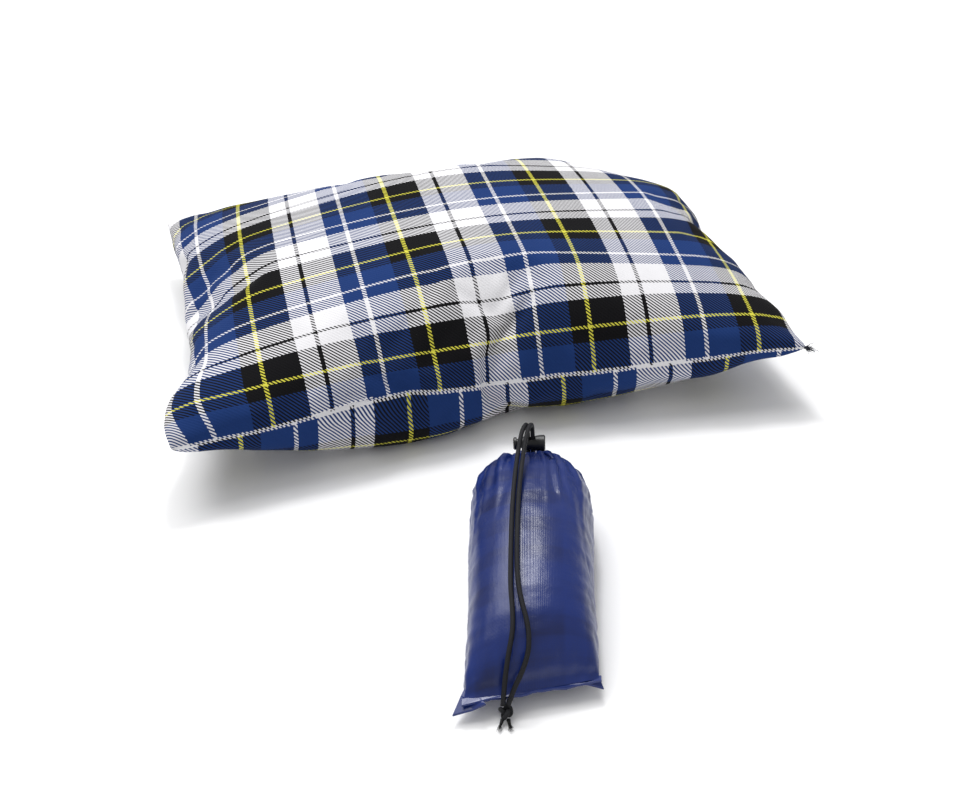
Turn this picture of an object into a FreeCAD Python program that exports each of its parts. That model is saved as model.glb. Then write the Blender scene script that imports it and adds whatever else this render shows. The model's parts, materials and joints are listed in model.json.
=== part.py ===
"""Rectangular travel pillow in a plaid cover, with its drawstring stuff sack.

Frame: millimetres, +Z up, +X along the pillow's long side, +Y to its back edge.
Origin: centre of the pillow's flat underside.  The packed sack lies on its back
in front of the pillow, on the same surface, with its mouth towards the pillow.
"""
import FreeCAD, Part
import math
import os

V = FreeCAD.Vector

# ---- pillow -----------------------------------------------------------------
CORNER_X = 250.0          # half length, seam corner to seam corner
CORNER_Y = 184.0          # half depth, seam corner to seam corner
PULL_X = 0.10             # share by which the short sides pull in at their middle
PULL_Y = 0.085            # the same for the long sides
SEAM_Z = 50.0             # height of the perimeter seam
CROWN = 70.0              # crown above the seam
CROWN_POWER = 2.8         # squareness of the dome
CROWN_EDGE = 0.42         # steepness of the dome at the seam
UNDER_FULL = 1.15         # underside's free depth over SEAM_Z: the rest is pressed flat
OUTLINE_POWER = 40.0      # squareness of the seam outline's corners
OUTLINE_POINTS = 56
CLOTH = 1.0               # flannel thickness
GAP = 0.15                # clearance between nested soft pieces
TURN_IN = 3.5             # from the seam to the seam allowance's outer edge
ALLOWANCE = 12.0          # and to its inner edge
STITCH_INSET = 5.0        # and to the thread line
CLOSING_X = (-137.0, -97.0)    # hand-closed stretch of the front seam
CLOSING_PITCH = 4.0

# ---- stuff sack, in its own axes: X across, Y from bottom seam to neck, Z up ----
SACK_PLACE = (-43.5, -439.0)   # middle of its bottom seam
SACK_TURN = -14.0              # about Z, degrees
SACK_LENGTH = 202.0            # bottom seam to cinched neck
NYLON = 0.6
SEAM_LOW = 12.0                # side seam's height at the bottom seam
SEAM_HIGH = 28.0               # side seam's height at the neck
BOTTOM_SLANT = 12.0            # degrees, bottom seam against the sack's width
SLANT_FADES = 60.0             # length over which the slant fades out
# stations: distance from bottom seam, half width, crown above the side seam
STATIONS = [(3, 41.5, 3), (7, 41.5, 12), (13, 41.5, 20), (22, 41.3, 27.5), (34, 41.2, 33.5),
            (50, 41.2, 37.5), (68, 41.5, 40), (92, 42, 41), (117, 42.8, 40.8), (138, 43, 39.5),
            (154, 42.8, 37.5), (166, 41.8, 35), (176, 39, 32), (184.5, 34, 28), (190.5, 27, 22.5),
            (195, 16, 14)]
SECTION_POWER = 2.5
HALF_POINTS = 14
UNDER_PRESS = 2.5              # how far the free underside would reach below the floor
SEAM_TAPE = 3.0                # width of the side seams' inner strips
SIDE_SEAM_STATIONS = slice(3, -3)    # the stations that those strips run along
BOTTOM_BAND = (90.0, 4.5, 1.8)    # bottom seam strip: across, along, thick
EAR = 7.0                         # length of the folded ears at its two ends

# ---- drawcord and cord lock ---------------------------------------------------
CORD = 3.2                     # braided cord diameter
STRANDS = 1.75                 # half distance between the two strands in the lock
RING_R = 7.6                   # drawcord's radius inside the casing
NECK_FLUTES = 9
LOCK_LENGTH = 17.0
LOCK_R_OPEN = 5.0              # barrel's radius at the plunger end
LOCK_R_SHUT = 6.0              # and at its closed end
LOCK_BORE = 3.6
LOCK_FLOOR = 2.0               # thickness of the closed end
LOCK_Z = 50.0                  # height of the barrel's axis
PLUNGER_R = 3.4
PLUNGER_HEAD_R = 4.6
PLUNGER_HEAD = 2.6
PLUNGER_OUT = 3.4              # gap from the barrel's rim to the head
PLUNGER_TIP = 0.6              # plunger's end wall, past the cords
LOCK_SHIFT = 2.2               # barrel's middle from the cords, to leave room for the spring
PRESS_TRAVEL = 2.5
SPRING_R = 2.4
SPRING_WIRE = 0.5
SPRING_TURNS = 3
CORD_HOLE = (7.4, 3.9)         # across both strands, through one strand

# routes of the two free tails in the sack's axes, from the lock's mouth to the knot
TAIL_LEFT = [(-1.75, 202, 56), (-1.8, 202, 66), (-3.2, 194, 73), (-6, 183.5, 73), (-8.5, 167, 67.5),
             (-10.3, 143, 67), (-11.6, 116, 66.5), (-12.2, 89, 64.5), (-12.4, 65, 61.5),
             (-12.4, 45, 57.5), (-11, 30, 51.5), (-11, 19, 45), (-13.5, 10, 37), (-15.5, 2, 28),
             (-17, -4.5, 18), (-17.7, -9, 9.8)]
TAIL_RIGHT = [(1.75, 202, 56), (2.0, 202, 66), (0.4, 194, 73), (-2.2, 183.5, 73), (-4.6, 167, 67.5),
              (-6.6, 143, 67), (-7.9, 116, 66.5), (-8.4, 90, 64.5), (-8.5, 67, 61.8), (-7.8, 48, 58.3),
              (-5.5, 35, 54), (-2.6, 25.5, 49), (-1, 16.5, 42.5), (-2, 8.5, 35), (-6, 1.5, 26.5),
              (-11, -3.8, 18.5), (-14.6, -8.6, 9.8)]
KNOT_AT = (-16.2, -10.2, 5.4)
KNOT_R = 5.2
FRAY_LENGTH = 6.5

os.makedirs("parts", exist_ok=True)


def export(name, shape):
    """Write one node and say what it is."""
    shape.exportStep("parts/%s.step" % name)
    box = shape.BoundBox
    print("%-20s solids %d valid %s volume %.1f  z %.2f..%.2f" % (
        name, len(shape.Solids), shape.isValid(), shape.Volume, box.ZMin, box.ZMax))


def closed_spline(points):
    """Smooth closed wire through the points."""
    curve = Part.BSplineCurve()
    curve.interpolate(Points=points, PeriodicFlag=True)
    return Part.Wire([curve.toShape()])


def solid_loft(wires):
    """Closed loft with straight rulings, its faces turned outwards."""
    solid = Part.makeLoft(wires, True, True)
    if solid.Volume < 0:
        solid.reverse()
    return solid


def ring(outer, inner, low, height):
    """Flat ring between two outlines, standing height tall from z = low."""
    faces = [Part.Face(closed_spline([V(x, y, low) for x, y in outline])) for outline in (outer, inner)]
    return faces[0].cut(faces[1]).extrude(V(0, 0, height))


# ---- pillow -------------------------------------------------------------------

def pulled(x, y, inset):
    """Where a plan point lies between the centre (0) and the seam (1), along X and Y."""
    a, b = CORNER_X - inset, CORNER_Y - inset
    side = a * (1 - PULL_X * (1 - min(1.0, (y / b) ** 2)))
    front = b * (1 - PULL_Y * (1 - min(1.0, (x / a) ** 2)))
    return abs(x) / side, abs(y) / front


def outline_at(level, inset):
    """Plan outline where the dome has fallen to a share of its full height (0 is the seam)."""
    points = []
    for i in range(OUTLINE_POINTS):
        turn = 2 * math.pi * i / OUTLINE_POINTS
        direction = (CORNER_X * math.cos(turn), CORNER_Y * math.sin(turn))
        near, far = 0.0, 1.6
        for _ in range(40):
            mid = (near + far) / 2
            p, q = pulled(direction[0] * mid, direction[1] * mid, inset)
            if level <= 0:
                inside = p ** OUTLINE_POWER + q ** OUTLINE_POWER < 1
            else:
                fall = max(0.0, 1 - p ** CROWN_POWER) * max(0.0, 1 - q ** CROWN_POWER)
                rounded = p ** OUTLINE_POWER + q ** OUTLINE_POWER < 1
                inside = fall ** CROWN_EDGE > level and rounded
            near, far = (mid, far) if inside else (near, mid)
        points.append((direction[0] * near, direction[1] * near))
    return points


TOP_LEVELS = [0, 0.15, 0.3, 0.45, 0.6, 0.73, 0.84, 0.92, 0.965, 0.99]
UNDER_LEVELS = [1 / UNDER_FULL, 0.66, 0.5, 0.33, 0.16, 0]


def slices(levels, depth, sign, inset):
    """Closed outlines of one side of the pillow, each at its own height."""
    return [closed_spline([V(x, y, SEAM_Z + sign * level * depth) for x, y in outline_at(level, inset)])
            for level in levels]


def top_solid(inset):
    return solid_loft(slices(TOP_LEVELS, CROWN - inset, 1, inset))


def under_solid(inset):
    return solid_loft(slices(UNDER_LEVELS, UNDER_FULL * (SEAM_Z - inset), -1, inset))


def pillow_fill(inset):
    """The whole stuffing as one loft from its underside to its crown."""
    under = slices(UNDER_LEVELS, UNDER_FULL * (SEAM_Z - inset), -1, inset)
    top = slices(TOP_LEVELS[1:], CROWN - inset, 1, inset)
    return solid_loft(under + top)


def front_edge_y(x):
    """Y of the front seam at x."""
    return -CORNER_Y * (1 - PULL_Y * (1 - (x / CORNER_X) ** 2))


def closing_stitches():
    """Hand stitches that close the front seam after filling."""
    stitches = []
    x = CLOSING_X[0]
    while x < CLOSING_X[1]:
        start = V(x, front_edge_y(x) - 0.9, SEAM_Z + 1.2)
        thread = Part.makeCylinder(0.35, 2.4, start, V(1, 0, 0))
        stitches.append(thread)
        x += CLOSING_PITCH
    return Part.makeCompound(stitches)


def build_pillow():
    seam_low = SEAM_Z - CLOTH
    allowance = ring(outline_at(0, TURN_IN), outline_at(0, ALLOWANCE), seam_low, 2 * CLOTH)
    thread = ring(outline_at(0, STITCH_INSET), outline_at(0, STITCH_INSET + 0.6), SEAM_Z - 0.3, 0.6)
    export("cover_top_panel", top_solid(0).cut(top_solid(CLOTH)))
    export("cover_bottom_panel", under_solid(0).cut(under_solid(CLOTH)))
    room = ring(outline_at(0, 0), outline_at(0, ALLOWANCE + GAP), seam_low - GAP, 2 * (CLOTH + GAP))
    export("fibre_fill", pillow_fill(CLOTH + GAP).cut(room))
    export("seam_allowance", allowance.cut(thread))
    export("seam_thread", thread)
    export("closing_stitches", closing_stitches())


# ---- stuff sack ----------------------------------------------------------------

def sack_place(shape):
    """Move a shape from the sack's axes into the pillow's frame."""
    turn = FreeCAD.Rotation(V(0, 0, 1), SACK_TURN)
    moved = shape.copy()
    moved.Placement = FreeCAD.Placement(V(SACK_PLACE[0], SACK_PLACE[1], 0), turn).multiply(moved.Placement)
    return moved


def side_seam_z(along):
    return SEAM_LOW + (SEAM_HIGH - SEAM_LOW) * along / SACK_LENGTH


def sack_stations(inset):
    """Stations with the two end ones drawn in by the inset."""
    ends = {0: inset, len(STATIONS) - 1: -inset}
    return [(along + ends.get(n, 0), half_width - inset, crown)
            for n, (along, half_width, crown) in enumerate(STATIONS)]


def slanted(along, across):
    """Y of a point, with the bottom seam's slant fading out along the sack."""
    slant = math.tan(math.radians(BOTTOM_SLANT)) * max(0.0, 1 - along / SLANT_FADES)
    return along + slant * across


def half_section(along, half_width, rise):
    """One half of a section: an arc over the side seams' plane, closed by a line."""
    points = []
    for i in range(HALF_POINTS + 1):
        turn = math.pi * i / HALF_POINTS
        across = half_width * math.copysign(abs(math.cos(turn)) ** (2 / SECTION_POWER), math.cos(turn))
        height = rise * math.sin(turn) ** (2 / SECTION_POWER) if 0 < i < HALF_POINTS else 0.0
        y = slanted(along, across)
        points.append(V(across, y, side_seam_z(y) + height))
    arc = Part.BSplineCurve()
    arc.interpolate(points)
    return Part.Wire([arc.toShape(), Part.LineSegment(points[-1], points[0]).toShape()])


def front_half(inset):
    return solid_loft([half_section(along, half_width, crown - inset)
                       for along, half_width, crown in sack_stations(inset)])


def back_half(inset):
    """The underside, pressed flat where it lies on the ground."""
    wires = [half_section(along, half_width, inset - min(crown, side_seam_z(along) + UNDER_PRESS))
             for along, half_width, crown in sack_stations(inset)]
    floor = Part.makeBox(300, 400, 60, V(-150, -100, inset - 60))
    return solid_loft(wires).cut(floor)


def side_strip(side, extra):
    """Seam tape that runs inside one side of the sack; extra widens it."""
    wires = []
    for along, half_width, _ in sack_stations(NYLON + GAP - extra)[SIDE_SEAM_STATIONS]:
        outer, inner = side * half_width, side * (half_width - SEAM_TAPE - extra)
        half = NYLON + extra
        corners = []
        for x, lift in ((outer, -half), (outer, half), (inner, half), (inner, -half)):
            y = slanted(along, x)
            corners.append(V(x, y, side_seam_z(y) + lift))
        wires.append(Part.makePolygon(corners + [corners[0]]))
    return solid_loft(wires)


def build_sack_shell():
    export("sack_front_panel", sack_place(front_half(0).cut(front_half(NYLON))))
    export("sack_back_panel", sack_place(back_half(0).cut(back_half(NYLON))))
    packed = front_half(NYLON + GAP).fuse(back_half(NYLON + GAP))
    for name, side in (("left", -1), ("right", 1)):
        packed = packed.cut(side_strip(side, GAP))
        export("side_seam_" + name, sack_place(side_strip(side, 0)))
    export("packed_pillow", sack_place(packed))


def build_bottom_seam():
    """Flat sewn edge with a folded triangular ear at each end."""
    across, along, thick = BOTTOM_BAND
    half = across / 2
    near = 3 - along
    outline = [V(-half + 5, 2.2, 0), V(-half, near + 1, 0), V(-half - EAR * 0.6, near - EAR * 0.5, 0),
               V(-half + EAR, near, 0), V(half - EAR, near, 0), V(half + 2, near - 1, 0),
               V(half, near + 4, 0), V(half - 5, 2.2, 0)]
    wire = Part.makePolygon(outline + [outline[0]])
    band = Part.Face(wire).extrude(V(0, 0, thick))
    band.rotate(V(0, 0, 0), V(0, 0, 1), BOTTOM_SLANT)
    band.translate(V(0, 0, side_seam_z(0) - thick / 2))
    return band


def neck_wire(along, radius, flute):
    points = []
    steps = NECK_FLUTES * 4
    for i in range(steps):
        turn = 2 * math.pi * i / steps
        r = radius + flute * math.cos(NECK_FLUTES * turn)
        points.append(V(r * math.cos(turn), along, SEAM_HIGH + r * math.sin(turn)))
    return closed_spline(points)


def build_neck():
    """Gathered hem round the mouth, with the drawcord's tunnel and its slit."""
    last = STATIONS[-1][0]
    outside = Part.makeLoft([neck_wire(last, 13.5, 0.8), neck_wire(SACK_LENGTH, 11.2, 0.7),
                             neck_wire(SACK_LENGTH + 6, 13.5, 1.0)], True)
    throat = Part.makeCylinder(3.2, 40, V(0, last - 1, SEAM_HIGH), V(0, 1, 0))
    centre = V(0, SACK_LENGTH, SEAM_HIGH)
    tunnel = Part.makeTorus(RING_R, CORD / 2 + 0.3, centre, V(0, 1, 0))
    slit = Part.makeBox(CORD_HOLE[0] + 0.4, CORD + 1.2, 30,
                        V(-CORD_HOLE[0] / 2 - 0.2, SACK_LENGTH - CORD / 2 - 0.6, SEAM_HIGH + RING_R - 1.5))
    export("neck_casing", sack_place(outside.cut(throat).cut(tunnel).cut(slit)))

    low = SEAM_HIGH + RING_R + CORD / 2 + 0.1
    cord = [Part.makeTorus(RING_R, CORD / 2, centre, V(0, 1, 0))]
    for side in (-STRANDS, STRANDS):
        cord.append(Part.makeCylinder(CORD / 2, TAIL_LEFT[0][2] - low, V(side, SACK_LENGTH, low)))
    export("drawcord_ring", sack_place(Part.makeCompound(cord)))


# ---- cords ----------------------------------------------------------------------

def rounded_path(points):
    """Straight runs joined by tangent arcs, each as large as its two runs allow."""
    path = [V(*p) for p in points]
    edges, radii = [], []
    start = path[0]
    for before, corner, after in zip(path, path[1:], path[2:]):
        back, ahead = before - corner, after - corner
        run = min(back.Length, ahead.Length)
        back.normalize()
        ahead.normalize()
        turn = math.pi - back.getAngle(ahead)
        cut = 0.45 * run
        radius = cut / math.tan(turn / 2)
        first, last = corner + back * cut, corner + ahead * cut
        inward = (back + ahead).normalize()
        middle = corner + inward * (radius / math.cos(turn / 2) - radius)
        edges.append(Part.LineSegment(start, first).toShape())
        edges.append(Part.Arc(first, middle, last).toShape())
        radii.append(radius)
        start = last
    edges.append(Part.LineSegment(start, path[-1]).toShape())
    return Part.Wire(edges), radii


def cord_tube(name, points):
    wire, radii = rounded_path(points)
    way = V(*points[1]) - V(*points[0])
    profile = Part.Wire([Part.makeCircle(CORD / 2, V(*points[0]), way)])
    tube = wire.makePipeShell([profile], True, False)
    ideal = math.pi * CORD ** 2 / 4 * wire.Length
    print("%s length %.1f, volume over ideal %.4f, radii in diameters %s" % (
        name, wire.Length, tube.Volume / ideal, ["%.1f" % (r / CORD) for r in radii]))
    export(name, sack_place(tube))


def build_knot():
    """Overhand knot that joins the tails, and the two frayed ends past it."""
    centre = V(*KNOT_AT)
    export("end_knot", sack_place(Part.makeSphere(KNOT_R, centre)))
    for name, lean in (("left", -2.0), ("right", 1.6)):
        start = centre + V(lean, -KNOT_R + 0.9, -2.6)
        way = V(lean * 0.5, -FRAY_LENGTH, -0.6)
        fray = Part.makeCone(CORD / 2 - 0.5, CORD / 2, FRAY_LENGTH, start, way)
        export("cord_end_" + name, sack_place(fray))


# ---- cord lock --------------------------------------------------------------------

def build_lock():
    """Barrel, plunger and spring on a common axis across the sack."""
    left, right = LOCK_SHIFT - LOCK_LENGTH / 2, LOCK_SHIFT + LOCK_LENGTH / 2
    outline = [(left, LOCK_R_OPEN - 0.5), (left + 0.5, LOCK_R_OPEN), (left + 6, LOCK_R_OPEN - 0.3),
               (right - 4, LOCK_R_SHUT - 0.1), (right - 0.8, LOCK_R_SHUT), (right, LOCK_R_SHUT - 0.8)]
    axis = V(1, 0, 0)

    def turned(profile):
        points = [V(x, 0, r) for x, r in profile]
        points = [V(profile[0][0], 0, 0)] + points + [V(profile[-1][0], 0, 0)]
        face = Part.Face(Part.makePolygon(points + [points[0]]))
        return face.revolve(V(0, 0, 0), axis, 360)

    barrel = turned(outline)
    bore = Part.makeCylinder(LOCK_BORE, LOCK_LENGTH - LOCK_FLOOR, V(left, 0, 0), axis)
    hole = Part.makeBox(CORD_HOLE[0], CORD_HOLE[1], 40, V(-CORD_HOLE[0] / 2, -CORD_HOLE[1] / 2, -20))
    barrel = barrel.cut(bore).cut(hole)

    head = left - PLUNGER_OUT
    tip = CORD_HOLE[0] / 2 + PLUNGER_TIP
    plunger = turned([(head - PLUNGER_HEAD, PLUNGER_HEAD_R - 0.8), (head - PLUNGER_HEAD + 0.8, PLUNGER_HEAD_R),
                      (head - 0.4, PLUNGER_HEAD_R), (head, PLUNGER_R), (tip, PLUNGER_R)])
    window = Part.makeBox(CORD_HOLE[0] + PRESS_TRAVEL, CORD_HOLE[1], 40,
                          V(-CORD_HOLE[0] / 2 - PRESS_TRAVEL, -CORD_HOLE[1] / 2, -20))
    plunger = plunger.cut(window)

    # the spring's turns stand between the plunger's tip and the barrel's closed end
    gap_start, gap_end = tip + 0.05, right - LOCK_FLOOR - 0.05
    pitch = (gap_end - gap_start - SPRING_WIRE) / (SPRING_TURNS - 1)
    turns = [Part.makeTorus(SPRING_R, SPRING_WIRE / 2, V(gap_start + SPRING_WIRE / 2 + n * pitch, 0, 0), axis)
             for n in range(SPRING_TURNS)]
    spring = Part.makeCompound(turns)

    for name, shape in (("lock_barrel", barrel), ("lock_plunger", plunger), ("lock_spring", spring)):
        placed = shape.copy()
        placed.translate(V(0, SACK_LENGTH, LOCK_Z))
        export(name, sack_place(placed))


build_pillow()
build_sack_shell()
export("bottom_seam", sack_place(build_bottom_seam()))
build_neck()
cord_tube("drawcord_tail_left", TAIL_LEFT)
cord_tube("drawcord_tail_right", TAIL_RIGHT)
build_knot()
build_lock()
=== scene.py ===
"""Looks for the plaid travel pillow and its stuff sack, in metres, in the CAD model's frame."""
import json
import math
import random

import bmesh
import bpy
import numpy as np
from mathutils import Matrix, Vector, noise


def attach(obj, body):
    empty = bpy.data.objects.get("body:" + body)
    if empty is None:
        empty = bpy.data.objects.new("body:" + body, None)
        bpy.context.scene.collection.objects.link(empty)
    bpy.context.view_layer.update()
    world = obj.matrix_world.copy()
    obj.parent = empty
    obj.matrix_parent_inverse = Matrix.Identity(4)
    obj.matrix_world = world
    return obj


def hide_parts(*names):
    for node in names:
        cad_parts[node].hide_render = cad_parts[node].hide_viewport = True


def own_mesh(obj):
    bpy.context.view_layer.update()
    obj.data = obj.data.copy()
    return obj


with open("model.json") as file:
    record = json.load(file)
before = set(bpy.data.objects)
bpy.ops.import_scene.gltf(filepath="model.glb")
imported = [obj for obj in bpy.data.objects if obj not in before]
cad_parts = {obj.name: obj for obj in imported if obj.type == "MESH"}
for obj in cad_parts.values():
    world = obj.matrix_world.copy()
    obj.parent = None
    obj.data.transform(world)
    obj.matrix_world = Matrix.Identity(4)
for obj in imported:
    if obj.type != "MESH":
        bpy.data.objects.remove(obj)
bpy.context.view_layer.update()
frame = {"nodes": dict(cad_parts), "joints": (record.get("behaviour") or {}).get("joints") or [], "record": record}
RECORD = frame["record"]

# ---- driving sizes ------------------------------------------------------------
PANEL_X, PANEL_Y = 0.508, 0.381       # flat pillow panel, seam to seam
CELLS_X, CELLS_Y = 100, 75            # cloth cells across a panel
FLAT_HEIGHT = 0.034                   # height of the flat cover before it is blown up
FLAT_PUFF = 0.018                     # and how far its panels start apart, each way

WARP_BAND, WEFT_BAND = 0.0437, 0.0342     # widths of the plaid's bands
LEFT_SEAM_BAND = -0.36                    # band coordinate at the left seam; 0 is a white to blue edge
FRONT_SEAM_BAND = -0.61                   # and at the front seam; 0 is a blue to black edge
UNDERSIDE_BANDS = 5.1                     # the underside's plaid runs the other way, from this band
TWILL_PITCH = 0.0031

SACK_MOUNT = next(m for m in RECORD["mounts"] if m["name"] == "sack_rest")
PRESS = next(j for j in frame["joints"] if j["name"] == "plunger_press")
SACK_TURN = math.atan2(PRESS["axis"][1], PRESS["axis"][0])
SACK_MOUNT_ALONG = 0.100                  # the resting mount's distance from the bottom seam
SACK_LENGTH = 0.202
CORD = 0.0032


def sack_frame():
    """Matrix from the sack's own axes (X across, Y towards the neck) into the row frame."""
    turn = Matrix.Rotation(SACK_TURN, 4, "Z")
    origin = Vector(SACK_MOUNT["pos_m"]) - turn @ Vector((0, SACK_MOUNT_ALONG, 0))
    return Matrix.Translation(origin) @ turn


SACK = sack_frame()


# ---- node helpers ----------------------------------------------------------------

class Graph:
    """A material's nodes, written as short expressions."""

    def __init__(self, name):
        self.material = bpy.data.materials.new(name)
        self.material.use_nodes = True
        self.tree = self.material.node_tree
        self.shader = self.tree.nodes["Principled BSDF"]

    def node(self, kind, **inputs):
        made = self.tree.nodes.new(kind)
        for key, value in inputs.items():
            self.put(made.inputs[key.replace("_", " ")], value)
        return made

    def put(self, socket, value):
        if isinstance(value, bpy.types.NodeSocket):
            self.tree.links.new(value, socket)
        else:
            socket.default_value = value

    def math(self, operation, *values, clamp=False):
        made = self.tree.nodes.new("ShaderNodeMath")
        made.operation = operation
        made.use_clamp = clamp
        for socket, value in zip(made.inputs, values):
            self.put(socket, value)
        return made.outputs[0]

    def mix(self, share, first, second, mode="MIX"):
        made = self.tree.nodes.new("ShaderNodeMix")
        made.data_type = "RGBA"
        made.blend_type = mode
        self.put(made.inputs["Factor"], share)
        self.put(made.inputs["A"], first)
        self.put(made.inputs["B"], second)
        return made.outputs["Result"]

    def noise(self, vector, scale, detail=2.0, roughness=0.5):
        made = self.tree.nodes.new("ShaderNodeTexNoise")
        self.put(made.inputs["Vector"], vector)
        made.inputs["Scale"].default_value = scale
        made.inputs["Detail"].default_value = detail
        made.inputs["Roughness"].default_value = roughness
        return made.outputs["Fac"]

    def ramp(self, value, low, high, smooth=True):
        """0 below low, 1 above high."""
        made = self.tree.nodes.new("ShaderNodeMapRange")
        made.interpolation_type = "SMOOTHSTEP" if smooth else "LINEAR"
        self.put(made.inputs["Value"], value)
        made.inputs["From Min"].default_value = low
        made.inputs["From Max"].default_value = high
        return made.outputs["Result"]

    def bump(self, height, strength, distance, normal=None):
        made = self.tree.nodes.new("ShaderNodeBump")
        self.put(made.inputs["Height"], height)
        made.inputs["Strength"].default_value = strength
        made.inputs["Distance"].default_value = distance
        if normal is not None:
            self.put(made.inputs["Normal"], normal)
        return made.outputs["Normal"]

    def coordinate(self, name):
        made = self.tree.nodes.new("ShaderNodeTexCoord")
        return made.outputs[name]

    def parts(self, vector):
        made = self.tree.nodes.new("ShaderNodeSeparateXYZ")
        self.put(made.inputs[0], vector)
        return made.outputs

    def set(self, **values):
        for key, value in values.items():
            self.put(self.shader.inputs[key.replace("_", " ")], value)


def srgb(r, g, b):
    """Linear colour from 0..255 display values."""
    def one(c):
        c /= 255
        return c / 12.92 if c <= 0.04045 else ((c + 0.055) / 1.055) ** 2.4
    return (one(r), one(g), one(b), 1.0)


# ---- materials -------------------------------------------------------------------

WHITE = srgb(236, 235, 238)
BLUE = srgb(26, 55, 112)
BLACK = srgb(9, 8, 10)
YELLOW = srgb(222, 216, 78)
LINE_WIDTH = 0.075
LINE_AT = {"white": 0.38, "blue": 0.39, "black": 0.34}


def band_colour(g, position):
    """Thread colour across the plaid: white, blue and black bands, each with its thin line."""
    third = g.math("FLOORED_MODULO", g.math("ADD", position, 1.0), 3.0)
    within = g.math("FRACT", third)
    is_blue = g.math("COMPARE", third, 1.5, 0.5)
    is_black = g.math("GREATER_THAN", third, 2.0)
    base = g.mix(is_black, g.mix(is_blue, WHITE, BLUE), BLACK)

    def line(at):
        return g.math("COMPARE", within, at, LINE_WIDTH / 2)

    in_white = g.mix(line(LINE_AT["white"]), base, BLACK)
    in_blue = g.mix(line(LINE_AT["blue"]), base, WHITE)
    in_black = g.mix(line(LINE_AT["black"]), base, YELLOW)
    return g.mix(is_black, g.mix(is_blue, in_white, in_blue), in_black)


def plaid_flannel():
    g = Graph("plaid_flannel")
    uv = g.coordinate("UV")
    u, v, _ = g.parts(uv)
    wobble = g.math("MULTIPLY", g.math("SUBTRACT", g.noise(uv, 900, 1), 0.5), 0.0012)
    u = g.math("ADD", u, wobble)
    v = g.math("SUBTRACT", v, wobble)
    warp = band_colour(g, g.math("DIVIDE", u, WARP_BAND))
    weft = band_colour(g, g.math("ADD", g.math("DIVIDE", v, WEFT_BAND), 1.0))
    phase = g.math("FRACT", g.math("DIVIDE", g.math("ADD", u, v), TWILL_PITCH))
    ridge = g.math("PINGPONG", phase, 0.5)
    warp_up = g.ramp(ridge, 0.17, 0.33)
    colour = g.mix(warp_up, weft, warp)
    fade = g.noise(uv, 2600, 3, 0.7)
    colour = g.mix(g.math("MULTIPLY", g.ramp(fade, 0.35, 0.75), 0.035), colour, srgb(150, 152, 160))
    cloud = g.noise(uv, 25, 3)
    colour = g.mix(g.math("MULTIPLY", cloud, 0.22), colour, (0.0, 0.0, 0.0, 1.0), "MULTIPLY")
    nap = g.noise(uv, 1500, 4, 0.65)
    height = g.math("ADD", g.math("MULTIPLY", ridge, 1.2), nap)
    g.set(Base_Color=colour, Roughness=0.95, Normal=g.bump(height, 0.45, 0.0006),
          Sheen_Weight=0.02, Sheen_Roughness=0.5, Specular_IOR_Level=0.08)
    return g.material


def blue_nylon():
    """Thin shiny nylon; a plaid shows faintly through it."""
    g = Graph("blue_nylon")
    uv = g.coordinate("UV")
    u, v, _ = g.parts(uv)
    across = g.math("FRACT", g.math("DIVIDE", u, 0.031))
    along = g.math("FRACT", g.math("DIVIDE", v, 0.026))
    inside = g.math("ADD", g.ramp(g.math("PINGPONG", across, 0.5), 0.2, 0.3),
                    g.ramp(g.math("PINGPONG", along, 0.5), 0.2, 0.3))
    blotch = g.noise(uv, 22, 3)
    shade = g.math("MULTIPLY", g.math("MULTIPLY", inside, 0.5), g.ramp(blotch, 0.3, 0.7))
    colour = g.mix(shade, srgb(14, 38, 104), srgb(9, 24, 74))
    weave = g.math("ADD", g.math("SINE", g.math("MULTIPLY", u, 7800.0)),
                   g.math("SINE", g.math("MULTIPLY", v, 7800.0)))
    crinkle = g.noise(uv, 90, 4, 0.6)
    fine = g.bump(weave, 0.10, 0.0002)
    g.set(Base_Color=colour, Roughness=0.29, Specular_IOR_Level=0.42, Sheen_Weight=0.03,
          Sheen_Roughness=0.3, Sheen_Tint=srgb(120, 140, 220), Normal=g.bump(crinkle, 0.3, 0.0012, fine))
    return g.material


def plain(name, colour, roughness, grain=900.0, strength=0.2, depth=0.0003, spread=0.25, **extra):
    """Moulded or spun material with fine grain and a little colour variation."""
    g = Graph(name)
    place = g.coordinate("Object")
    dark = tuple(c * (1 - spread) for c in colour[:3]) + (1.0,)
    g.set(Base_Color=g.mix(g.noise(place, 180, 3), dark, colour), Roughness=roughness,
          Normal=g.bump(g.noise(place, grain, 3), strength, depth), **extra)
    return g.material


def floor_material():
    g = Graph("studio_floor")
    g.set(Base_Color=(0.93, 0.93, 0.935, 1.0), Roughness=0.85, Specular_IOR_Level=0.1)
    return g.material


# ---- mesh helpers ------------------------------------------------------------------

def new_object(name, verts, faces, material=None, smooth=True):
    mesh = bpy.data.meshes.new(name)
    mesh.from_pydata([tuple(v) for v in verts], [], faces)
    mesh.update()
    if smooth:
        mesh.polygons.foreach_set("use_smooth", [True] * len(mesh.polygons))
    made = bpy.data.objects.new(name, mesh)
    bpy.context.scene.collection.objects.link(made)
    if material:
        mesh.materials.append(material)
    return made


def positions(obj):
    co = np.empty(len(obj.data.vertices) * 3)
    obj.data.vertices.foreach_get("co", co)
    return co.reshape(-1, 3)


def set_positions(obj, co):
    obj.data.vertices.foreach_set("co", np.asarray(co, float).ravel())
    obj.data.update()


def apply_modifiers(obj):
    graph = bpy.context.evaluated_depsgraph_get()
    graph.update()
    mesh = bpy.data.meshes.new_from_object(obj.evaluated_get(graph))
    old = obj.data
    obj.modifiers.clear()
    obj.data = mesh
    bpy.data.meshes.remove(old)


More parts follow.
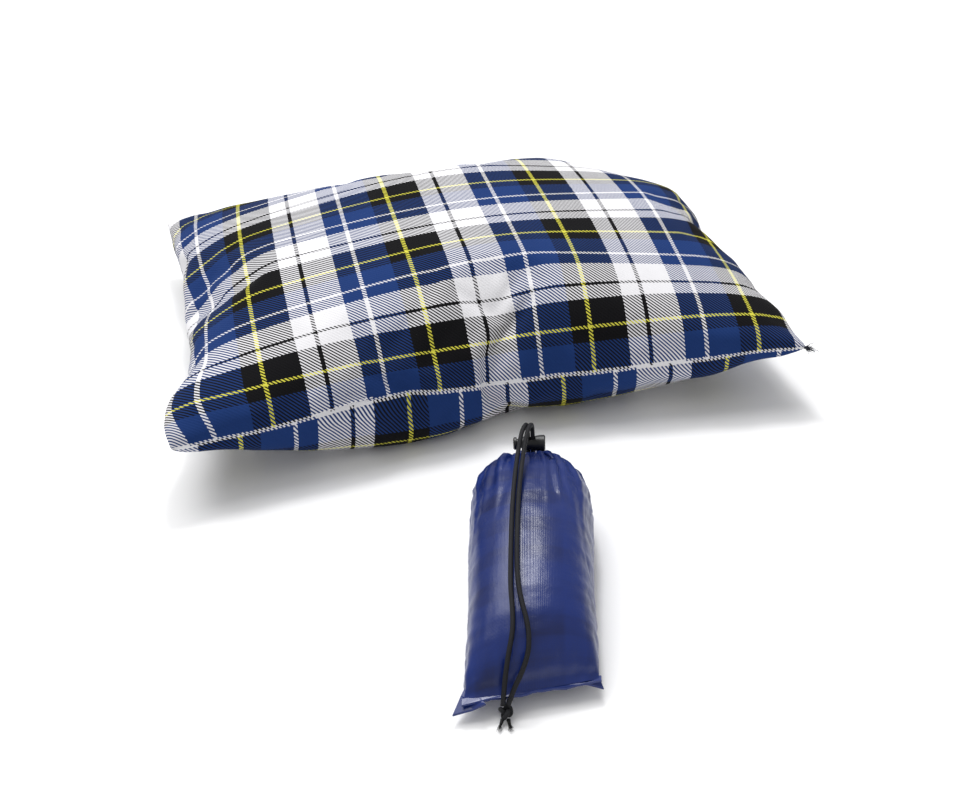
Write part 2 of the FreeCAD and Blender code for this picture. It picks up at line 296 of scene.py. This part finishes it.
def run_cloth(obj, frames, **values):
    """Cloth simulation of obj, with its result applied."""
    modifier = obj.modifiers.new("cloth", "CLOTH")
    gravity = values.pop("gravity", 0.0)
    collide = values.pop("collide", False)
    pins = values.pop("pins", None)
    for key, value in values.items():
        setattr(modifier.settings, key, value)
    if pins:
        modifier.settings.vertex_group_mass = pins
    modifier.settings.effector_weights.gravity = gravity
    modifier.collision_settings.use_collision = collide
    modifier.collision_settings.distance_min = 0.002
    modifier.point_cache.frame_end = frames
    scene = bpy.context.scene
    scene.frame_end = frames
    for step in range(1, frames + 1):
        scene.frame_set(step)
    apply_modifiers(obj)
    scene.frame_set(1)


def subdivide(obj, levels=1):
    obj.modifiers.new("smooth", "SUBSURF").levels = levels
    obj.modifiers["smooth"].render_levels = levels
    apply_modifiers(obj)


# ---- pillow ---------------------------------------------------------------------------

def flat_bag():
    """Two flat panels sewn together at their edges, with the plaid laid out in flat metres."""
    verts, index, flat = [], {}, []
    for side in (1, -1):
        for j in range(CELLS_Y + 1):
            for i in range(CELLS_X + 1):
                at_seam = i in (0, CELLS_X) or j in (0, CELLS_Y)
                if side < 0 and at_seam:
                    index[side, i, j] = index[1, i, j]
                    continue
                p, q = 2 * i / CELLS_X - 1, 2 * j / CELLS_Y - 1
                puff = FLAT_PUFF * math.sqrt((1 - p ** 4) * (1 - q ** 4))
                index[side, i, j] = len(verts)
                verts.append((p * PANEL_X / 2, q * PANEL_Y / 2, FLAT_HEIGHT + side * puff))
    faces, uvs = [], []
    for side in (1, -1):
        for j in range(CELLS_Y):
            for i in range(CELLS_X):
                ring = [(i, j), (i + 1, j), (i + 1, j + 1), (i, j + 1)]
                ring = ring if side > 0 else ring[::-1]
                faces.append([index[side, a, b] for a, b in ring])
                for a, b in ring:
                    along = LEFT_SEAM_BAND * WARP_BAND + a * PANEL_X / CELLS_X
                    if side < 0:
                        along = UNDERSIDE_BANDS * WARP_BAND - along
                    uvs.append((along, FRONT_SEAM_BAND * WEFT_BAND + b * PANEL_Y / CELLS_Y))
    bag = new_object("pillow_cover", verts, faces)
    layer = bag.data.uv_layers.new(name="flat")
    layer.data.foreach_set("uv", np.array(uvs).ravel())
    return bag, index


def resting_floor():
    slab = new_object("sim_floor", [(-1, -1, 0), (1, -1, 0), (1, 1, 0), (-1, 1, 0)], [(0, 1, 2, 3)])
    slab.modifiers.new("collision", "COLLISION")
    slab.collision.thickness_outer = 0.002
    slab.collision.cloth_friction = 20
    return slab


def inflate(bag):
    slab = resting_floor()
    run_cloth(bag, 60, gravity=0.01, collide=True, quality=5, mass=0.3, use_pressure=True,
              uniform_pressure_force=6.2, tension_stiffness=40, compression_stiffness=40,
              shear_stiffness=16, bending_stiffness=0.1, tension_damping=8, compression_damping=8,
              shear_damping=8, air_damping=4)
    bpy.data.objects.remove(slab)


def on_the_ground(co):
    """The same points, lowered or raised until the lowest is on the ground."""
    co = co.copy()
    co[:, 2] -= co[:, 2].min()
    return co


def build_pillow():
    bag, index = flat_bag()
    inflate(bag)
    set_positions(bag, on_the_ground(positions(bag)))
    return bag, index


bag, bag_index = build_pillow()


# ---- pillow details -------------------------------------------------------------------

DROOP_CORNER = (PANEL_X / 2, PANEL_Y / 2)
DROOP_REACH = 0.170
DROOP = (-0.010, -0.005, -0.045)


def eased(share):
    """0 to 1, with a smooth start and end."""
    share = np.clip(share, 0, 1)
    return share ** 2 * (3 - 2 * share)


def droop(co):
    """Lets the slack back right corner hang, as its weight pulls it down."""
    away = np.hypot(co[:, 0] - DROOP_CORNER[0], co[:, 1] - DROOP_CORNER[1])
    return co + eased(1 - away / DROOP_REACH)[:, None] * np.array(DROOP)


def vertex_normals(obj):
    out = np.empty(len(obj.data.vertices) * 3)
    obj.data.vertices.foreach_get("normal", out)
    return out.reshape(-1, 3)


def seam_line():
    """Points of the perimeter seam, front left corner first and going to the right."""
    ring = [(i, 0) for i in range(CELLS_X)] + [(CELLS_X, j) for j in range(CELLS_Y)]
    ring += [(i, CELLS_Y) for i in range(CELLS_X, 0, -1)] + [(0, j) for j in range(CELLS_Y, 0, -1)]
    return [bag_index[1, i, j] for i, j in ring]


def panel(name, side):
    """One side of the cover as its own piece."""
    made = bag.copy()
    made.data = bag.data.copy()
    made.name = made.data.name = name
    bpy.context.scene.collection.objects.link(made)
    work = bmesh.new()
    work.from_mesh(made.data)
    bmesh.ops.delete(work, geom=[f for f in work.faces if f.material_index != side], context="FACES")
    for face in work.faces:
        face.material_index = 0
    work.to_mesh(made.data)
    work.free()
    made.data.materials.clear()
    made.data.materials.append(FLANNEL)
    return made


PUCKER, PUCKER_REACH, PUCKER_START, PUCKER_RATE = 0.006, 0.020, 0.005, 34
BELLY = (0, -0.015, -0.002)           # how the underside bulges at the front left
BELLY_FROM, BELLY_WIDE, BELLY_DEEP = 0.015, 0.27, 0.13
SEAM_LIFT, SEAM_LIFT_AT, SEAM_LIFT_WIDE, SEAM_LIFT_DEEP = 0.006, 0.16, 0.07, 0.03
PINCH = (-0.017, -0.004, 0.006)       # how the left front corner is drawn out
PINCH_FROM_CORNER = (0.004, 0.034, 0.026)
PINCH_REACH = 0.060


def hump(place, start, length):
    """A half sine wave over a stretch, and nothing outside it."""
    return max(0.0, math.sin(math.pi * min(1.0, max(0.0, (place - start) / length))))


def handle_by_hand(obj):
    """Puckers along the seam, a fuller underside at the front left, and a pinched left front corner."""
    co, normals = positions(obj), vertex_normals(obj)
    left_corner = co[bag_index[1, 0, 0]].copy()
    moved = co.copy()
    for (side, i, j), v in bag_index.items():
        from_left, from_front = i * PANEL_X / CELLS_X, j * PANEL_Y / CELLS_Y
        inward = min(from_left, PANEL_X - from_left, from_front, PANEL_Y - from_front)
        pull = math.exp(-(inward / PUCKER_REACH) ** 2) * (1 - math.exp(-inward / PUCKER_START))
        run = Vector((from_left * PUCKER_RATE, from_front * PUCKER_RATE, 3.0 * side))
        moved[v] += normals[v] * pull * PUCKER * noise.noise(run)
        if side < 0:
            span = hump(from_left, BELLY_FROM, BELLY_WIDE)
            moved[v] += np.array(BELLY) * span * hump(from_front, 0.0, BELLY_DEEP)
        across = math.exp(-((from_left - SEAM_LIFT_AT) / SEAM_LIFT_WIDE) ** 2)
        moved[v, 2] += SEAM_LIFT * across * math.exp(-(from_front / SEAM_LIFT_DEEP) ** 2)
    away = np.linalg.norm(co - (left_corner + np.array(PINCH_FROM_CORNER)), axis=1)
    moved += eased(1 - away / PINCH_REACH)[:, None] * np.array(PINCH)
    moved[:, 2] = np.maximum(moved[:, 2], 0.0)
    set_positions(obj, moved)


FLANNEL = plaid_flannel()
handle_by_hand(bag)
drooped = droop(positions(bag))
drooped[:, 2] = np.maximum(drooped[:, 2], 0.0)
set_positions(bag, drooped)
seam_points = positions(bag)[seam_line()]
sides = [0] * (CELLS_X * CELLS_Y) + [1] * (CELLS_X * CELLS_Y)
bag.data.materials.append(None)
bag.data.materials.append(None)
bag.data.polygons.foreach_set("material_index", sides)
subdivide(bag, 1)
pillow_top = panel("pillow_top_panel", 0)
pillow_bottom = panel("pillow_bottom_panel", 1)
bpy.data.objects.remove(bag)


# ---- threads and tubes -------------------------------------------------------------------

def tube_mesh(points, radius, sides=10, taper=None, close_ends=True):
    """Vertices and faces of a tube along points, with a frame carried along without twist."""
    points = [Vector(p) for p in points]
    verts, faces = [], []
    side = None
    for n, p in enumerate(points):
        way = (points[min(n + 1, len(points) - 1)] - points[max(n - 1, 0)]).normalized()
        if side is None:
            side = way.orthogonal().normalized()
        side = (side - way * side.dot(way)).normalized()
        other = way.cross(side)
        r = radius if taper is None else radius * taper(n / (len(points) - 1))
        for k in range(sides):
            turn = 2 * math.pi * k / sides
            verts.append(p + (side * math.cos(turn) + other * math.sin(turn)) * r)
        if n:
            a, b = (n - 1) * sides, n * sides
            for k in range(sides):
                m = (k + 1) % sides
                faces.append((a + k, a + m, b + m, b + k))
    if close_ends:
        last = (len(points) - 1) * sides
        faces.append(tuple(range(sides - 1, -1, -1)))
        faces.append(tuple(range(last, last + sides)))
    return verts, faces


def tube_uvs(obj, sides, pitch):
    """U goes round the tube and V along it, in metres."""
    layer = obj.data.uv_layers.new(name="flat")
    for face in obj.data.polygons:
        if len(face.vertices) != 4:
            continue
        wraps = max(v % sides for v in face.vertices) - min(v % sides for v in face.vertices) > 1
        for loop, v in zip(face.loop_indices, face.vertices):
            around = v % sides
            if wraps and around == 0:
                around = sides
            layer.data[loop].uv = (around / sides, (v // sides) * pitch)


def merged(name, parts, material):
    verts, faces = [], []
    for more, rings in parts:
        start = len(verts)
        verts += more
        faces += [tuple(i + start for i in ring) for ring in rings]
    return new_object(name, verts, faces, material)


def wisps(start, way, count, length, spread, radius, rng):
    """Loose fibres that fan out from a cut end."""
    parts = []
    way = Vector(way).normalized()
    for _ in range(count):
        lean = Vector([rng.gauss(0, spread) for _ in range(3)])
        bend = Vector([rng.gauss(0, spread) for _ in range(3)])
        size = length * rng.uniform(0.45, 1.0)
        points = []
        for n in range(6):
            t = n / 5
            p = Vector(start) + way * size * t + lean * size * t + bend * size * t * t * 0.6
            p += Vector([rng.gauss(0, radius * 2) for _ in range(3)]) * min(1, 3 * t)
            p.z = max(p.z, radius)
            points.append(p)
        parts.append(tube_mesh(points, radius, 4, lambda t: 1 - 0.6 * t))
    return parts


CLOSING_X = (-0.137, -0.097)
STITCH_PITCH = 0.004


def front_seam_point(x):
    front = seam_points[:CELLS_X]
    return Vector([np.interp(x, front[:, 0], front[:, k]) for k in range(3)])


def build_closing_stitches():
    """Small hand stitches that shut the gap the pillow was filled through."""
    parts = []
    count = int((CLOSING_X[1] - CLOSING_X[0]) / STITCH_PITCH)
    for n in range(count):
        x = CLOSING_X[0] + STITCH_PITCH * (n + 0.25)
        run = []
        for k in range(7):
            t = k / 6
            p = front_seam_point(x + t * STITCH_PITCH * 0.55)
            p += Vector((0, -0.0007, 0.0011)) * (0.5 + 0.5 * math.sin(math.pi * t))
            run.append(p)
        parts.append(tube_mesh(run, 0.00042, 6))
    return merged("closing_stitches_visual", parts, THREAD)


THREAD = plain("thread", srgb(228, 226, 228), 0.8, 2500, 0.3)
stitches = build_closing_stitches()


# ---- stuff sack ----------------------------------------------------------------------------

def at_sack(across, along, height):
    """Row-frame point from the sack's own axes, in millimetres."""
    return SACK @ (Vector((across, along, height)) / 1000)


SEAM_LOW, SEAM_HIGH = 12.0, 28.0
LENGTH = SACK_LENGTH * 1000
BOTTOM_SLANT = math.tan(math.radians(12.0))
SLANT_FADES = 60.0
STATIONS = [(0, 42, 0.7), (3, 41.5, 3), (7, 41.5, 12), (13, 41.5, 20), (22, 41.3, 27.5), (34, 41.2, 33.5),
            (50, 41.2, 37.5), (68, 41.5, 40), (92, 42, 41), (117, 42.8, 40.8), (138, 43, 39.5),
            (154, 42.8, 37.5), (166, 41.8, 35), (176, 39, 32), (184.5, 34, 28), (190.5, 27, 22.5),
            (195, 17, 15), (199, 12.5, 12.3), (202, 11.2, 11.2), (205, 12.2, 12.2), (208, 13.6, 13.6)]
THROAT = [(208.6, 12.6), (206, 9.0), (202, 6.0), (196, 4.6), (191, 3.0)]
AROUND, ALONG = 168, 132
SACK_GIRTH = 0.214                    # the cloth's flat width round the sack
THROAT_FLAT = 0.26                    # where the throat's cloth starts in the flat layout


def section_power(along):
    """Squarish in the body and round at the gathered neck."""
    blend = min(1.0, max(0.0, (along - 175) / 32))
    return 2.5 - 0.5 * blend


def sack_point(along, turn, half_width, rise, outward=0.0):
    power = 2 / section_power(along)
    c, s = math.cos(turn), math.sin(turn)
    across = half_width * math.copysign(abs(c) ** power, c)
    slant = BOTTOM_SLANT * max(0.0, 1 - along / SLANT_FADES)
    y = along + slant * across
    middle = SEAM_LOW + (SEAM_HIGH - SEAM_LOW) * min(1.0, y / LENGTH)
    below = rise if s > 0 else min(rise, middle + 0.5)
    z = middle + below * math.copysign(abs(s) ** power, s)
    return Vector((across * (1 + outward), y, middle + (z - middle) * (1 + outward)))


def gathers(turn, along):
    """Folds that run out from the drawn neck and fade into the body."""
    near = max(0.0, min(1.0, (along - 105) / 92))
    reach = 0.5 + 0.5 * noise.noise(Vector((math.cos(turn) * 2.3, math.sin(turn) * 2.3, 4.0)))
    strength = near ** (0.9 + 1.5 * reach)
    wander = 1.3 * noise.noise(Vector((math.cos(turn) * 1.7, math.sin(turn) * 1.7, along * 0.012)))
    broad = 0.6 - 1.4 * abs(math.sin(8.5 * turn + 3.2 * wander)) ** 0.6
    narrow = 0.6 - 1.4 * abs(math.sin(15.5 * turn - 2.1 + 2.6 * wander)) ** 0.6
    return strength * (broad + 0.7 * narrow)


def build_sack():
    stops = np.array(STATIONS, float)
    travel = np.concatenate([[0], np.cumsum(np.hypot(np.diff(stops[:, 0]), np.diff(stops[:, 2])))])
    places = np.linspace(0, travel[-1], ALONG)
    fine = np.linspace(0, travel[-1], 900)
    kernel = np.hanning(31)
    kernel /= kernel.sum()

    def smooth(column):
        dense = np.interp(fine, travel, column)
        padded = np.pad(dense, 15, mode="reflect", reflect_type="odd")
        return np.interp(places, fine, np.convolve(padded, kernel, mode="valid"))

    alongs, halves, rises = smooth(stops[:, 0]), smooth(stops[:, 1]), smooth(stops[:, 2])
    verts, faces, flat = [], [], []
    for n in range(ALONG):
        for k in range(AROUND):
            turn = 2 * math.pi * (k + 0.5) / AROUND
            size = max(8.0, min(halves[n], rises[n]))
            fold = gathers(turn, alongs[n]) * min(2.6, size * 0.10)
            p = sack_point(alongs[n], turn, halves[n], rises[n], fold / size)
            verts.append(at_sack(*p))
            flat.append((turn / (2 * math.pi) * SACK_GIRTH, places[n] / 1000))
    for along, radius in THROAT:
        for k in range(AROUND):
            turn = 2 * math.pi * (k + 0.5) / AROUND
            r = radius + gathers(turn, LENGTH) * min(1.3, radius * 0.11)
            verts.append(at_sack(r * math.cos(turn), along, SEAM_HIGH + r * math.sin(turn)))
            flat.append((turn / (2 * math.pi) * SACK_GIRTH, THROAT_FLAT + along / 1000))
    rows = ALONG + len(THROAT)
    for n in range(rows - 1):
        for k in range(AROUND):
            m = (k + 1) % AROUND
            faces.append((n * AROUND + k, n * AROUND + m, (n + 1) * AROUND + m, (n + 1) * AROUND + k))
    made = new_object("stuff_sack_shell", verts, faces, NYLON)
    layer = made.data.uv_layers.new(name="flat")
    for face in made.data.polygons:
        ks = [v % AROUND for v in face.vertices]
        for loop, v in zip(face.loop_indices, face.vertices):
            u, along = flat[v]
            if max(ks) - min(ks) > 1 and v % AROUND == 0:
                u += SACK_GIRTH
            layer.data[loop].uv = (u, along)
    return made


NYLON = blue_nylon()
sack = build_sack()


def pin_group(obj, keep):
    group = obj.vertex_groups.new(name="held")
    for v in obj.data.vertices:
        weight = keep(v)
        if weight > 0:
            group.add([v.index], weight, "REPLACE")
    return "held"


HELD_FROM, HELD_FADE = 180, 14        # the neck is held from here on, along the sack


def settle_sack():
    """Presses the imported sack's cloth out between its bottom seam and its drawn neck."""
    slab = resting_floor()
    back = SACK.inverted()

    def keep(v):
        along = (back @ v.co).y * 1000
        if v.index < AROUND * 2:
            return 1.0
        return max(0.0, min(1.0, (along - HELD_FROM) / HELD_FADE))

    run_cloth(sack, 14, gravity=0.0, collide=True, pins=pin_group(sack, keep), quality=6, mass=0.05,
              use_pressure=True, uniform_pressure_force=1.2, tension_stiffness=30,
              compression_stiffness=30, shear_stiffness=10, bending_stiffness=0.2, tension_damping=6,
              compression_damping=6, shear_damping=6, air_damping=4)
    bpy.data.objects.remove(slab)


def crease_sack():
    """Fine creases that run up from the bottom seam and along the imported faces."""
    co, normals = positions(sack), vertex_normals(sack)
    back = np.array(SACK.inverted())
    local = (co @ back[:3, :3].T + back[:3, 3]) * 1000
    shift = []
    for x, y, z in local:
        low = max(0.0, 1 - y / 45)
        side = max(0.0, min(1.0, (abs(x) - 24) / 16))
        folds = noise.noise(Vector((x * 0.16, y * 0.03, z * 0.05 + 3))) * low * 1.3
        folds += noise.noise(Vector((x * 0.03, y * 0.13, z * 0.06 + 9))) * side * 0.9
        folds += noise.noise(Vector((x * 0.035, y * 0.02, z * 0.02 + 5))) * 0.8
        middle = SEAM_LOW + (SEAM_HIGH - SEAM_LOW) * min(1.0, y / LENGTH)
        folds += 2.5 * gathers(math.atan2(z - middle, x), y)
        shift.append(folds * min(1.0, max(0.0, (203 - y) / 10)) * min(1.0, max(0.0, y) / 5))
    co = co + normals * (np.array(shift) / 1000)[:, None]
    co[:, 2] = np.maximum(co[:, 2], 0.0)
    set_positions(sack, co)


settle_sack()
crease_sack()
sack.data.materials.clear()
sack.data.materials.append(NYLON)


def strip(name, outline, thick, centre_z, material):
    """Flat cloth piece from an outline in the sack's axes, with soft rounded faces."""
    count = len(outline)
    verts = []
    for lift, inset in ((-0.5, 0.35), (0, 0), (0.5, 0.35)):
        cx = sum(p[0] for p in outline) / count
        cy = sum(p[1] for p in outline) / count
        for x, y, rise in outline:
            away = Vector((cx - x, cy - y, 0))
            away = away.normalized() * inset if away.length else away
            verts.append(at_sack(x + away.x, y + away.y, max(0.1 + lift, centre_z + rise + lift * thick)))
    faces = [tuple(range(count - 1, -1, -1)), tuple(range(2 * count, 3 * count))]
    for ring in (0, 1):
        for k in range(count):
            m = (k + 1) % count
            faces.append((ring * count + k, ring * count + m, (ring + 1) * count + m, (ring + 1) * count + k))
    made = new_object(name, verts, faces, material, smooth=False)
    return made


def build_bottom_band():
    """Sewn bottom edge, wavy; the folded ear at each end is built on its own."""
    top, low = [], []
    for n in range(25):
        x = -43 + 86 * n / 24
        wave = 0.5 * math.sin(x * 0.21) + 0.35 * math.sin(x * 0.47 + 1)
        y = BOTTOM_SLANT * x
        top.append((x, y + 3.0, 0.3 * wave))
        low.append((x, y - 1.6 + 0.6 * wave, 0.6 * wave))
    return strip("bottom_seam_band", top[::-1] + low, 1.6, SEAM_LOW, NYLON)


def build_ear(name, side, reach, drop, width):
    """Corner of the bottom seam, folded to a small triangle."""
    x0 = side * 40
    y0 = BOTTOM_SLANT * x0
    tip = (x0 + side * reach, y0 - drop, -6.0)
    outline = [(x0, y0 + width, 0.5), (x0 + side * reach * 0.45, y0 + width * 0.42, -1.5), tip,
               (x0 - side * 4, y0 - drop * 0.62, -3.4), (x0 - side * 12, y0 - 1.6, 0.0)]
    outline = outline if side < 0 else outline[::-1]
    return strip(name, outline, 1.8, SEAM_LOW, NYLON)


band = build_bottom_band()
ear_left = build_ear("bottom_ear_left", -1, 8.6, 5.0, 15.0)
ear_right = build_ear("bottom_ear_right", 1, 4.4, 1.2, 8.0)


# ---- drawcord ----------------------------------------------------------------------------------

TAIL_LEFT = [(-1.75, 202, 56), (-1.8, 202, 66), (-3.2, 194, 73), (-6, 183.5, 73), (-8.5, 167, 67.5),
             (-10.3, 143, 67), (-11.6, 116, 66.5), (-12.2, 89, 64.5), (-12.4, 65, 61.5),
             (-12.4, 45, 57.5), (-11, 30, 51.5), (-11, 19, 45), (-13.5, 10, 37), (-15.5, 2, 28),
             (-17, -4.5, 18), (-17.7, -9, 9.8)]
TAIL_RIGHT = [(1.75, 202, 56), (1.6, 202, 61), (1.6, 202, 66), (0.4, 194, 73), (-2.2, 183.5, 73),
              (-4.6, 167, 67.5), (-6.6, 143, 67), (-7.9, 116, 66.5), (-8.4, 90, 64.5),
              (-8.5, 67, 61.8), (-7.8, 48, 58.3), (-5.5, 35, 54), (-2.6, 25.5, 49), (-1, 16.5, 42.5),
              (-2, 8.5, 35), (-6, 1.5, 26.5), (-11, -3.8, 18.5), (-14.6, -8.6, 9.8)]
KNOT_AT = (-16.2, -10.2, 5.4)


def black_braid():
    """Round braid: two sets of strands that cross at a slant."""
    g = Graph("black_braid")
    around, along, _ = g.parts(g.coordinate("UV"))
    first = g.math("ADD", g.math("MULTIPLY", around, 8.0), g.math("MULTIPLY", along, 900.0))
    second = g.math("SUBTRACT", g.math("MULTIPLY", around, 8.0), g.math("MULTIPLY", along, 900.0))
    ridge = g.math("MAXIMUM", g.math("PINGPONG", first, 0.5), g.math("PINGPONG", second, 0.5))
    # Painted shade and painted highlight: the grooves between strands are painted darker and the strand crowns
    # lighter, following the bump's height.
    colour = g.mix(g.ramp(ridge, 0.2, 0.5), srgb(5, 5, 7), srgb(24, 25, 32))
    g.set(Base_Color=colour, Roughness=0.62, Normal=g.bump(ridge, 0.7, 0.0005),
          Specular_IOR_Level=0.3)
    return g.material


def nurbs_points(route):
    """Points along a smooth curve with the route as its control points."""
    data = bpy.data.curves.new("route", "CURVE")
    data.dimensions = "3D"
    line = data.splines.new("NURBS")
    line.points.add(len(route) - 1)
    for point, place in zip(line.points, route):
        point.co = (*at_sack(*place), 1.0)
    line.order_u = 3
    line.use_endpoint_u = True
    line.resolution_u = 14
    holder = bpy.data.objects.new("route", data)
    bpy.context.scene.collection.objects.link(holder)
    graph = bpy.context.evaluated_depsgraph_get()
    graph.update()
    mesh = bpy.data.meshes.new_from_object(holder.evaluated_get(graph))
    points = [v.co.copy() for v in mesh.vertices]
    bpy.data.objects.remove(holder)
    return points


def even(points, step):
    """The same line at an even spacing."""
    points = np.array(points)
    travel = np.concatenate([[0], np.cumsum(np.linalg.norm(np.diff(points, axis=0), axis=1))])
    count = max(3, int(travel[-1] / step))
    places = np.linspace(0, travel[-1], count)
    return [Vector([np.interp(s, travel, points[:, k]) for k in range(3)]) for s in places], travel[-1]


def cord_piece(name, points, step=0.0008):
    line, length = even(points, step)
    verts, faces = tube_mesh(line, CORD / 2, 16)
    made = new_object(name, verts, faces, BRAID)
    tube_uvs(made, 16, length / (len(line) - 1))
    return made, line


def build_knot():
    """Overhand knot of one cord's thickness, pulled small."""
    path = []
    for n in range(121):
        t = 2 * math.pi * n / 120
        x = (math.sin(t) + 2 * math.sin(2 * t)) / 3
        y = (math.cos(t) - 2 * math.cos(2 * t)) / 3
        z = -math.sin(3 * t)
        path.append(at_sack(KNOT_AT[0] + 3.5 * x, KNOT_AT[1] + 3.6 * y, KNOT_AT[2] + 2.2 * z))
    verts, faces = tube_mesh(path, 0.00145, 12)
    made = new_object("drawcord_knot", verts, faces, BRAID)
    tube_uvs(made, 12, 0.0009)
    return made


def build_frays():
    """Cut ends past the knot, frayed to loose fibres."""
    rng = random.Random(5)
    pieces = []
    for name, lean in (("left", -2.0), ("right", 1.6)):
        start = (KNOT_AT[0] + lean, KNOT_AT[1] - 3.6, 2.6)
        end = (start[0] + lean * 0.5, start[1] - 3.4, 2.0)
        stub = [at_sack(*[a + (b - a) * n / 5 for a, b in zip(start, end)]) for n in range(6)]
        way = stub[-1] - stub[0]
        parts = [tube_mesh(stub, 0.0013, 10, lambda t: 1 - 0.3 * t)]
        parts += wisps(stub[-2], way, 60, 0.0046, 0.17, 0.00014, rng)
        pieces.append(merged("drawcord_fray_" + name, parts, BRAID))
    return pieces


def build_gathering_ring():
    """The cord in the neck's casing and its two strands up through the lock."""
    centre_z, radius = SEAM_HIGH, 8.2
    half_gap, top = TAIL_RIGHT[0][0], TAIL_RIGHT[0][2]
    points = [at_sack(-half_gap, LENGTH, top)]
    lean = math.asin(half_gap / radius)
    for n in range(61):
        turn = math.pi / 2 + lean + (2 * math.pi - 2 * lean) * n / 60
        points.append(at_sack(radius * math.cos(turn), LENGTH, centre_z + radius * math.sin(turn)))
    points.append(at_sack(half_gap, LENGTH, top))
    made, _ = cord_piece("drawcord_in_casing", points)
    return made


BRAID = black_braid()
left_tail, left_line = cord_piece("drawcord_left", nurbs_points(TAIL_LEFT))
right_tail, right_line = cord_piece("drawcord_right", nurbs_points(TAIL_RIGHT))
knot = build_knot()
fray_left, fray_right = build_frays()
ring = build_gathering_ring()


# ---- cord lock ------------------------------------------------------------------------------------

LOCK_PLASTIC = plain("lock_plastic", srgb(17, 18, 22), 0.42, 1400, 0.25, 0.0003)
PLUNGER_PLASTIC = plain("plunger_plastic", srgb(14, 15, 18), 0.36, 1400, 0.2, 0.0003)
STEEL = plain("spring_steel", srgb(170, 172, 176), 0.3, 2000, 0.1, 0.0001, Metallic=1.0)
for node, material in (("lock_barrel", LOCK_PLASTIC), ("lock_plunger", PLUNGER_PLASTIC),
                       ("lock_spring", STEEL)):
    piece = frame["nodes"][node]
    piece.data.materials.clear()
    piece.data.materials.append(material)


def build_spring():
    """The lock's spring, copied from its part and carried by the lock; it keeps its length as the plunger goes in.
    """
    source = frame["nodes"]["lock_spring"]
    made = bpy.data.objects.new("lock_spring_visual", source.data.copy())
    bpy.context.scene.collection.objects.link(made)
    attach(made, "cord_lock")
    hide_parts("lock_spring")
    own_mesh(made)
    return made


spring = build_spring()


# ---- frayed corner --------------------------------------------------------------------------------

def build_corner_fray():
    """Raw seam allowance that pokes out at the right front corner."""
    rng = random.Random(8)
    corner = Vector(seam_points[CELLS_X])
    way = Vector((0.8, -0.55, -0.12)).normalized()
    parts = wisps(corner - way * 0.005, way, 46, 0.008, 0.25, 0.00028, rng)
    return merged("corner_fray", parts, DARK_THREAD)


DARK_THREAD = plain("dark_thread", srgb(38, 42, 58), 0.9, 2500, 0.3)
corner_fray = build_corner_fray()


# ---- what each piece stands for ---------------------------------------------------------------------

for piece in (pillow_top, pillow_bottom, stitches, corner_fray):
    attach(piece, "pillow")
for piece in (sack, band, ear_left, ear_right, ring, left_tail, right_tail, knot, fray_left, fray_right):
    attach(piece, "stuff_sack")
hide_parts("cover_top_panel", "fibre_fill", "seam_allowance", "seam_thread")
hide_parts("cover_bottom_panel")
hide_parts("closing_stitches")
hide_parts("sack_front_panel", "sack_back_panel", "side_seam_left", "side_seam_right",
            "packed_pillow", "neck_casing")
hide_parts("bottom_seam")
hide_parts("drawcord_ring")
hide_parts("drawcord_tail_left")
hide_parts("drawcord_tail_right")
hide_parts("end_knot")
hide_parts("cord_end_left")
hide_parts("cord_end_right")


# ---- studio ---------------------------------------------------------------------------------------------

CAMERA_AT = (-0.1658, -0.9739, 0.6159)
CAMERA_AIM = (0.15684, 0.80245, -0.57574)
CAMERA_ROLL = -2.68
CAMERA_LENS = 47.76


def build_camera():
    data = bpy.data.cameras.new("camera")
    data.sensor_width = 36
    data.lens = CAMERA_LENS
    data.clip_start, data.clip_end = 0.01, 30
    camera = bpy.data.objects.new("camera", data)
    bpy.context.scene.collection.objects.link(camera)
    aim = Vector(CAMERA_AIM).normalized()
    right = aim.cross(Vector((0, 0, 1))).normalized()
    up = right.cross(aim)
    level = Matrix((right, up, -aim)).transposed().to_4x4()
    roll = Matrix.Rotation(math.radians(CAMERA_ROLL), 4, "Z")
    camera.matrix_world = Matrix.Translation(CAMERA_AT) @ level @ roll
    bpy.context.scene.camera = camera


def new_light(name, kind, energy):
    data = bpy.data.lights.new(name, kind)
    data.energy = energy
    lamp = bpy.data.objects.new(name, data)
    bpy.context.scene.collection.objects.link(lamp)
    return lamp


def soft_light(name, place, aim, size, watts):
    """Round area light that faces a point."""
    lamp = new_light(name, "AREA", watts)
    lamp.data.shape = "DISK"
    lamp.data.size = size
    facing = (Vector(aim) - Vector(place)).to_track_quat("-Z", "Y")
    lamp.matrix_world = Matrix.Translation(place) @ facing.to_matrix().to_4x4()


def sky_light(name, towards, spread, strength):
    """Broad even light from one direction."""
    lamp = new_light(name, "SUN", strength)
    lamp.data.angle = math.radians(spread)
    lamp.rotation_euler = Vector(towards).to_track_quat("Z", "Y").to_euler()


def build_studio():
    reach, low = 40, -0.0006
    corners = [(-reach, -reach, low), (reach, -reach, low), (reach, reach, low), (-reach, reach, low)]
    floor = new_object("studio_floor", corners, [(0, 1, 2, 3)], floor_material(), smooth=False)
    world = bpy.data.worlds.new("world")
    world.use_nodes = True
    world.node_tree.nodes["Background"].inputs["Color"].default_value = (1, 1, 1, 1)
    world.node_tree.nodes["Background"].inputs["Strength"].default_value = 0.58
    bpy.context.scene.world = world
    sky_light("sky", (-0.35, 0.75, 1.6), 45, 1.85)
    soft_light("top", (0.05, 0.45, 1.3), (0, -0.3, 0), 0.28, 7)


build_camera()
build_studio()
bpy.context.scene.render.resolution_x = 980
bpy.context.scene.render.resolution_y = 805
bpy.context.scene.view_settings.view_transform = "Standard"
